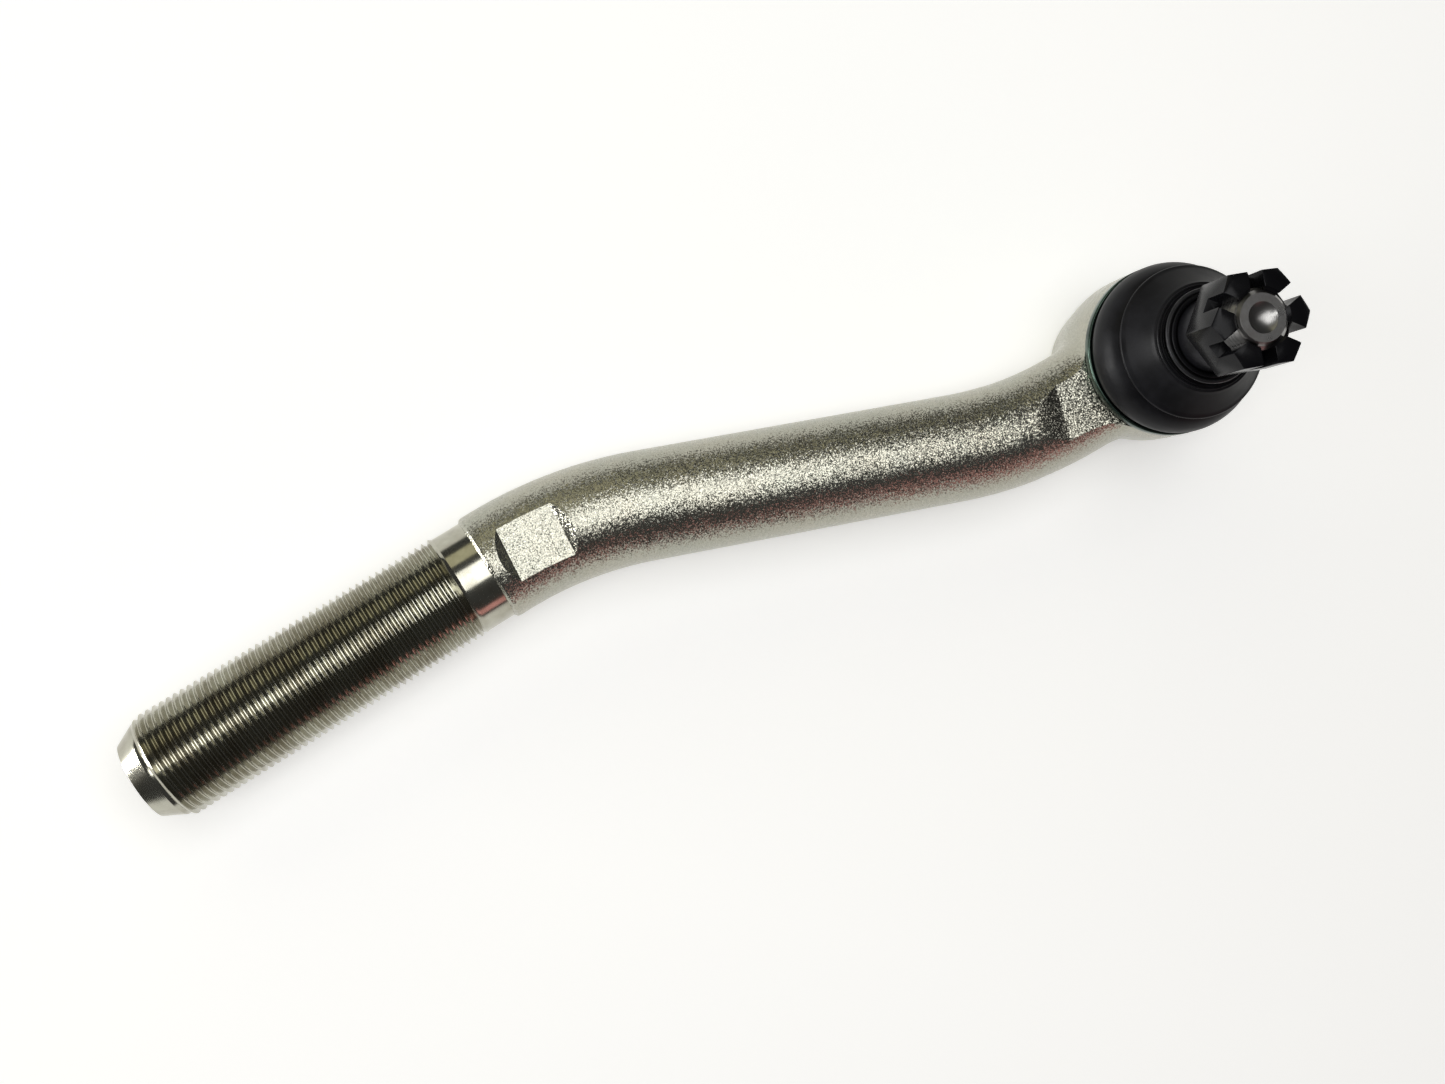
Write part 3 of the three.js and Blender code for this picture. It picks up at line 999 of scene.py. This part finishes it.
@dataclass
class RodThread(Piece):
    """The turned end of the shank: plain neck, M30 x 2 thread and the long chamfer at the tip."""

    slot: str = "zinc_forging"
    axis_y: float = 48.0
    neck_r: float = 14.5
    from_z: float = 193.0
    thread_z: float = 204.0
    chamfer_z: float = 291.5
    tip_z: float = 299.0
    tip_r: float = 11.0
    crest_r: float = 15.0
    pitch: float = 2.0
    run_in: float = 0.6          # mm, and the slope at which the crests rise from the neck
    run_out: float = 0.5         # slope at which the roots fall away from the neck
    centre_hole_r: float = 2.5

    def ceiling(self, z: float) -> float:
        """Largest radius at a distance along the rod: the neck, the crests, the chamfer."""
        if z < self.thread_z - self.run_in:
            return self.neck_r
        if z < self.chamfer_z:
            rise = (z - self.thread_z + self.run_in) * self.run_in
            return min(self.crest_r, self.neck_r + rise)
        share = (z - self.chamfer_z) / (self.tip_z - self.chamfer_z)
        return self.crest_r + (self.tip_r - self.crest_r) * min(max(share, 0), 1.2)

    def floor(self, z: float) -> float:
        """Smallest radius at a distance along the rod: the neck and the thread's run-out."""
        return self.neck_r - max(0.0, z - self.thread_z) * self.run_out

    def build(self) -> Object:
        """Cuts the thread and lays it along the shank's axis.

        Returns:
            The turned end.
        """
        bm = Thread(
            self.crest_r, self.pitch, self.from_z, self.tip_z, self.ceiling, self.floor,
        ).build()
        end = max((f for f in bm.faces if f.normal.z > 0.99), key=lambda f: f.calc_area())
        # The centre hole's rings: each is a share of the last one's radius, sunk by so much.
        for share, sink in ((self.centre_hole_r / self.tip_r, 0.0), (0.55, 1.2), (0.9, 2.0)):
            old = end
            grown = bmesh.ops.extrude_face_region(bm, geom=[old])
            end = next(g for g in grown["geom"] if isinstance(g, BMFace))
            bm.faces.remove(old)
            shrink = Matrix.Diagonal((share, share, 1.0))
            bmesh.ops.transform(bm, verts=end.verts[:], matrix=shrink.to_4x4())
            bmesh.ops.translate(bm, verts=end.verts[:], vec=(0, 0, -sink))
        turn_and_shift(bm, -90, "Y", (0, self.axis_y, 0))
        bmesh.ops.recalc_face_normals(bm, faces=bm.faces)
        obj = link_mesh(bm, "rod_thread")
        crisp(obj, 24)
        self.dress(obj, ZINC_THREAD, ["forged_housing"])
        return obj


@dataclass
class BallStud(Piece):
    """The ball stud: ball, waist, boot seat, 1:8 taper and M16 x 1.5 thread with a coned end.

    The body keeps the black of its heat treatment, the rolled thread is bright.
    """

    body: str = "stud"
    slot: str = "bare_steel"
    ball_r: float = 15.0
    neck_r: float = 7.6
    seat_r: float = 10.1
    ball_flat_z: float = -14.2
    waist_z: float = 33.0
    seat_z: float = 35.8
    taper_z: float = 40.4
    taper_end_z: float = 51.4
    taper_end_r: float = 9.31
    shoulder_r: float = 7.4
    shoulder_z: float = 52.0
    crest_r: float = 8.0
    pitch: float = 1.5
    thread_from: float = 51.0
    end_z: float = 66.7
    end_r: float = 6.3
    recess_r: float = 4.1
    recess_depth: float = 2.8
    cross_hole_r: float = 1.8
    cross_hole_z: float = 61.5

    def ceiling(self, z: float) -> float:
        """Largest radius of the threaded part at a height."""
        return min(self.crest_r, self.end_r + (self.end_z - z) * 0.85)

    def thread(self, extra: float = 0.0, top: float = 0.0) -> BMesh:
        """Cuts the stud's thread, or with extra the clearance that the nut is tapped with.

        Args:
            extra: Added to every radius, in millimetres.
            top: Added to the height of the end, in millimetres.

        Returns:
            The threaded solid.
        """
        def ceiling(z: float) -> float:
            """The stud's own chamfer, or none for the nut's tap."""
            return self.crest_r + extra if extra else self.ceiling(z)

        return Thread(
            self.crest_r + extra, self.pitch, self.thread_from - 2 * top, self.end_z + top, ceiling,
            lambda z: 0.0, segments=72,
        ).build()

    def drill(self, obj: Object) -> None:
        """Drills the hole for the split pin, along Y."""
        bm = bmesh.new()
        bmesh.ops.create_cone(
            bm, cap_ends=True, radius1=self.cross_hole_r, radius2=self.cross_hole_r, depth=30,
            segments=32,
        )
        turn_and_shift(bm, 90, "X", (0, 0, self.cross_hole_z))
        combine(obj, link_mesh(bm, "cross_hole"), Join.CUT)

    def build(self) -> list[Object]:
        """Turns the body, rolls the thread, and cones and drills its end.

        Returns:
            The body and the threaded end.
        """
        neck_z = math.sqrt(self.ball_r ** 2 - self.neck_r ** 2)
        low = math.asin(self.ball_flat_z / self.ball_r)
        high = math.asin(neck_z / self.ball_r)
        arc = [low + (high - low) * i / 24 for i in range(25)]
        corners = [Corner(0, self.ball_flat_z)]
        corners += [Corner(self.ball_r * math.cos(a), self.ball_r * math.sin(a)) for a in arc]
        corners += [
            Corner(self.neck_r, self.waist_z, 1.6), Corner(self.seat_r, self.seat_z, 0.8),
            Corner(self.seat_r, self.taper_z), Corner(self.taper_end_r, self.taper_end_z, 0.3),
            Corner(self.shoulder_r, self.shoulder_z, 0.2), Corner(0, self.shoulder_z),
        ]
        body = link_mesh(turned(corners, closed=False, segments=96), "ball_stud_body")
        crisp(body, 28)
        self.dress(body, STUD_BLACK, ["ball_stud"])
        end = link_mesh(self.thread(), "ball_stud_thread")
        slope = self.recess_depth / self.recess_r
        over = 1.0
        recess = [
            Corner(0, self.end_z - self.recess_depth, 0.4),
            Corner(self.recess_r + over / slope, self.end_z + over), Corner(0, self.end_z + over),
        ]
        combine(end, link_mesh(turned(recess, closed=False, segments=96), "recess"), Join.CUT)
        self.drill(end)
        crisp(end, 28)
        self.dress(end, BARE_STEEL, ["ball_stud"])
        return [body, end]


@dataclass
class SlottedNut(Piece):
    """The slotted hexagon nut, 24 mm across flats, tapped to the stud's thread."""

    body: str = "stud"
    slot: str = "black_oxide"
    across: float = 24.0
    base_z: float = 52.0
    height: float = 14.6
    slot_width: float = 4.0
    slot_depth: float = 8.2
    turn_deg: float = 8.0
    clearance: float = 0.14
    chamfer: float = 1.2
    lead_in: float = 1.2
    edge_round: float = 0.14
    slot_reach: float = 20.0     # mm, clear of the nut on both sides

    def build(self, stud: BallStud) -> Object:
        """Cuts the hexagon, chamfers, slots and taps it.

        Args:
            stud: The stud whose thread the nut is tapped to.

        Returns:
            The nut.
        """
        corner_r = self.across / 2 / math.cos(math.pi / 6)
        top_z = self.base_z + self.height
        bm = bmesh.new()
        bmesh.ops.create_cone(
            bm, cap_ends=True, radius1=corner_r, radius2=corner_r, depth=self.height, segments=6,
        )
        turn_and_shift(bm, self.turn_deg, "Z", (0, 0, self.base_z + self.height / 2))
        obj = link_mesh(bm, "slotted_nut")
        clear_r = corner_r + 0.3
        envelope = [
            Corner(0, self.base_z), Corner(corner_r - 0.5, self.base_z),
            Corner(clear_r, self.base_z + 0.45), Corner(clear_r, top_z - self.chamfer),
            Corner(self.across / 2 - 0.5, top_z), Corner(0, top_z),
        ]
        combine(obj, link_mesh(turned(envelope, closed=False, segments=96), "envelope"), Join.KEEP)
        half, reach = self.slot_width / 2, self.slot_reach
        outline = [
            (-reach, y, z) for y, z in (
                (-half, top_z - self.slot_depth), (half, top_z - self.slot_depth),
                (half, top_z + 1), (-half, top_z + 1),
            )
        ]
        for i in range(3):
            cut = prism(outline, (2 * reach, 0, 0))
            turn_and_shift(cut, self.turn_deg + 60 * i, "Z")
            combine(obj, link_mesh(cut, "slot"), Join.CUT)
        soften_edges(obj, self.edge_round, 25)
        combine(obj, link_mesh(stud.thread(self.clearance, 1.0), "tap"), Join.CUT)
        lead = self.lead_in
        wide, narrow = stud.crest_r + 0.5 + lead, stud.crest_r - 1.9
        for z, below, above in ((self.base_z, wide, narrow), (top_z, narrow, wide)):
            sink = [
                Corner(0, z - lead), Corner(below, z - lead), Corner(above, z + lead),
                Corner(0, z + lead),
            ]
            cutter = turned(sink, closed=False, segments=64)
            combine(obj, link_mesh(cutter, "countersink"), Join.CUT)
        crisp(obj, 28)
        self.dress(obj, BLACK_OXIDE, ["castle_nut"])
        return obj


@dataclass
class DustBoot(Piece):
    """The moulded boot, made as two folds that meet in the groove between them."""

    body: str = ""
    slot: str = "boot_rubber"
    groove_z: float = 28.6
    rib_pitch: float = 0.75

    def lower_fold(self) -> Object:
        """Spins the bead and the bulge above it."""
        g = self.groove_z
        corners = [
            Corner(20.7, 13.7, 0.2), Corner(22.8, 13.7, 0.2), Corner(22.8, 16.6, 0.25),
            Corner(23.5, 17.0, 0.3), Corner(24.25, 19.4, 1.1), Corner(23.9, 22.4, 1.3),
            Corner(22.8, 25.0, 1.3), Corner(21.1, 27.0, 1.0), Corner(19.2, 28.1, 0.4),
            Corner(19.2, g), Corner(18.0, g), Corner(18.0, 27.9, 0.3), Corner(19.9, 25.1, 1.2),
            Corner(21.4, 22.3, 1.2), Corner(21.9, 19.7, 1.0), Corner(20.7, 18.3, 0.4),
        ]
        return link_mesh(turned(corners, segments=160), "boot_lower_fold")

    def upper_fold(self) -> Object:
        """Spins the flat-rimmed fold, its cone, the ribbed shoulder and the neck."""
        g = self.groove_z
        ribs: list[Corner] = []
        for i in range(3):
            r = 14.45 - i * self.rib_pitch
            ribs += [
                Corner(r, 37.75, 0.12), Corner(r - 0.2, 38.15, 0.15),
                Corner(r - 0.4, 38.1, 0.15), Corner(r - 0.55, 37.7, 0.1),
            ]
        corners = [
            Corner(18.0, g), Corner(19.2, g), Corner(19.5, 28.9, 0.2), Corner(21.2, 29.5, 0.15),
            Corner(21.4, 29.9, 0.12), Corner(21.2, 30.4, 0.15), Corner(20.4, 31.0, 0.5),
            Corner(17.6, 34.2, 1.6), Corner(15.5, 36.9, 0.5), Corner(14.95, 37.75, 0.2), *ribs,
            Corner(12.2, 37.7, 0.2), Corner(11.7, 39.3, 0.3), Corner(11.6, 41.1, 0.3),
            Corner(10.4, 41.1, 0.3), Corner(10.4, 35.5, 0.4), Corner(13.4, 35.1, 0.6),
            Corner(18.8, 30.6, 0.6),
        ]
        return link_mesh(turned(corners, segments=160), "boot_upper_fold")

    def build(self) -> list[Object]:
        """Makes both folds and dresses them.

        Returns:
            The lower and the upper fold.
        """
        spans = (
            (self.lower_fold(), "housing", "boot", 16.5, 27.5),
            (self.upper_fold(), "boot", "boot_neck", 29.0, 35.5),
        )
        for obj, below, above, start, end in spans:
            crisp(obj, 45)
            self.dress(obj, RUBBER, ["dust_boot"])
            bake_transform(obj)
        return [span[0] for span in spans]


@dataclass
class BootRings(Piece):
    """The pressed ring round the boot's bead and the wire ring round its neck."""

    slot: str = "ring_steel"
    inner_r: float = 23.05
    outer_r: float = 24.25
    bottom_z: float = 13.5
    top_z: float = 16.0
    wire_r: float = 0.7
    neck_r: float = 12.4
    neck_z: float = 40.2

    def build(self) -> list[Object]:
        """Makes both rings.

        Returns:
            The base ring and the neck ring.
        """
        band = [
            Corner(self.inner_r, self.bottom_z, 0.15), Corner(self.outer_r, self.bottom_z, 0.3),
            Corner(self.outer_r, self.top_z, 0.45), Corner(self.inner_r, self.top_z, 0.3),
        ]
        base = link_mesh(turned(band, segments=160), "boot_base_band")
        crisp(base, 40)
        self.dress(base, RING_STEEL, ["boot_base_ring"])
        wire = [
            Corner(self.neck_r + self.wire_r * math.cos(a), self.neck_z + self.wire_r * math.sin(a))
            for a in (math.tau * i / 16 for i in range(16))
        ]
        neck = link_mesh(turned(wire, segments=96), "boot_neck_wire")
        neck.data.shade_smooth()
        Piece("boot_neck", "ring_wire").dress(neck, RING_WIRE, ["boot_neck_ring"])
        return [base, neck]


@dataclass
class ClosureCap(Piece):
    """The pressed cap under the eye, dished towards its middle."""

    slot: str = "zinc_pressing"
    edge_r: float = 18.1
    top_z: float = -18.9
    bottom_z: float = -21.3

    def build(self) -> Object:
        """Spins the cap's two faces.

        Returns:
            The cap.
        """
        dish_z = self.bottom_z + 0.9
        corners = [
            Corner(0, dish_z), Corner(12, dish_z, 1.2), Corner(13.4, self.bottom_z, 0.9),
            Corner(self.edge_r, self.bottom_z, 0.3), Corner(self.edge_r, self.top_z, 0.3),
            Corner(0, self.top_z),
        ]
        obj = link_mesh(turned(corners, closed=False), "pressed_cap")
        crisp(obj, 40)
        self.dress(obj, ZINC_PRESSING, ["closure_cap"])
        return obj


# ---------------------------------------------------------------- studio


@dataclass(frozen=True)
class Softbox:
    """One rectangular area light, with its places and size in metres and its power in watts."""

    name: str
    place: Point
    aim: Point
    size: tuple[float, float]
    power: float
    tint: str = "#ffffff"

    def hang(self) -> None:
        """Hangs the light and turns it to face its aim."""
        data = bpy.data.lights.new(self.name, "AREA")
        data.shape = "RECTANGLE"
        data.size, data.size_y = self.size
        data.energy = self.power
        data.color = srgb(self.tint)[:3]
        lamp = bpy.data.objects.new(self.name, data)
        lamp.location = self.place
        facing = Vector(self.aim) - Vector(self.place)
        lamp.rotation_euler = facing.to_track_quat("-Z", "Y").to_euler()
        bpy.context.scene.collection.objects.link(lamp)


LIGHTS = (
    Softbox("overhead_softbox", (0.03, 0.13, 1.0), (0.03, 0.13, 0.0), (0.62, 0.74), 4.4),
    Softbox("strip_softbox", (-0.6, 0.13, 1.0), (-0.6, 0.13, 0.0), (0.64, 0.28), 2.2),
    Softbox("straw_panel", (-0.1, 1.25, 0.85), (-0.1, 0.05, 0.0), (1.6, 0.7), 2.6, "#f2ecc8"),
    Softbox("rose_panel", (0.17, -1.5, 0.36), (-0.1, 0.05, 0.0), (1.05, 0.36), 1.3, "#f0a8a6"),
    Softbox("left_softbox", (-1.2, 0.5, 0.06), (0.0, 0.0, 0.02), (0.7, 0.12), 13.0),
)


@dataclass
class Studio:
    """Pale floor, dim room, camera, and the softboxes and tinted panels round the part."""

    lens: float = 37.37
    sensor: float = 36.0
    eye: Point = (-207.08, 46.97, 411.29)
    right: Point = (0.8346, -0.5213, 0.1780)
    up: Point = (0.5241, 0.8509, 0.0351)
    world: float = 0.07

    def camera(self) -> None:
        """Places the camera above the shank, with the stud leaning away to the right."""
        data = bpy.data.cameras.new("camera")
        data.lens = self.lens
        data.sensor_width = self.sensor
        data.clip_start = 0.01
        cam = bpy.data.objects.new("camera", data)
        x = Vector(self.right).normalized()
        y = Vector(self.up)
        y = (y - x * y.dot(x)).normalized()
        turn = Matrix((x, y, x.cross(y))).transposed()
        cam.matrix_world = Matrix.Translation(Vector(self.eye) * MM) @ turn.to_4x4()
        bpy.context.scene.collection.objects.link(cam)
        bpy.context.scene.camera = cam

    def floor(self, height: float) -> None:
        """Lays a pale floor under the part.

        Args:
            height: Height of the floor in metres.
        """
        bm = bmesh.new()
        bmesh.ops.create_grid(bm, x_segments=1, y_segments=1, size=4000)
        bmesh.ops.translate(bm, verts=bm.verts, vec=(0, 0, height / MM))
        obj = link_mesh(bm, "floor")
        material = bpy.data.materials.new("matt_white_paper")
        material.use_nodes = True
        shader = material.node_tree.nodes["Principled BSDF"]
        paper = {
            "Base Color": srgb("#f6f6f4"), "Roughness": 0.9, "Emission Color": srgb("#f6f6f4"),
            "Emission Strength": 0.4,
        }
        for key, value in paper.items():
            shader.inputs[key].default_value = value
        obj.data.materials.append(material)

    def build(self, floor_height: float) -> None:
        """Sets up the camera, the floor and the lights.

        Args:
            floor_height: Height of the floor in metres.
        """
        self.camera()
        self.floor(floor_height)
        scene = bpy.context.scene
        scene.view_settings.view_transform = "Standard"
        world = bpy.data.worlds.new("grey_room")
        world.use_nodes = True
        background = world.node_tree.nodes["Background"]
        background.inputs["Color"].default_value = srgb("#f4f6f8")
        background.inputs["Strength"].default_value = self.world
        scene.world = world
        for softbox in LIGHTS:
            softbox.hang()


# ---------------------------------------------------------------- assembly


def dress_hidden(nodes: dict[str, Object]) -> None:
    """Gives the pieces inside the eye their finishes.

    Args:
        nodes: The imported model's objects by node name.
    """
    inside = {"upper_ball_seat": ACETAL, "lower_ball_seat": ACETAL, "preload_spring": SPRING_STEEL}
    made = {finish: finish.material() for finish in dict.fromkeys(inside.values())}
    for name, finish in inside.items():
        for slot in nodes[name].material_slots:
            slot.material = made[finish]
        LOG.info("%s: dressed as %s", name, finish.name)


def main() -> None:
    """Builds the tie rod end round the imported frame."""
    logging.basicConfig(level=logging.INFO, format="%(relativeCreated)d ms %(name)s %(message)s")
    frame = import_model()
    Studio().build(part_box("forged_housing")[0].z)
    Forging().build()
    RodThread().build()
    stud = BallStud()
    stud.build()
    SlottedNut().build(stud)
    DustBoot().build()
    BootRings().build()
    ClosureCap().build()
    dress_hidden(frame["nodes"])


if __name__ == "__main__":
    main()
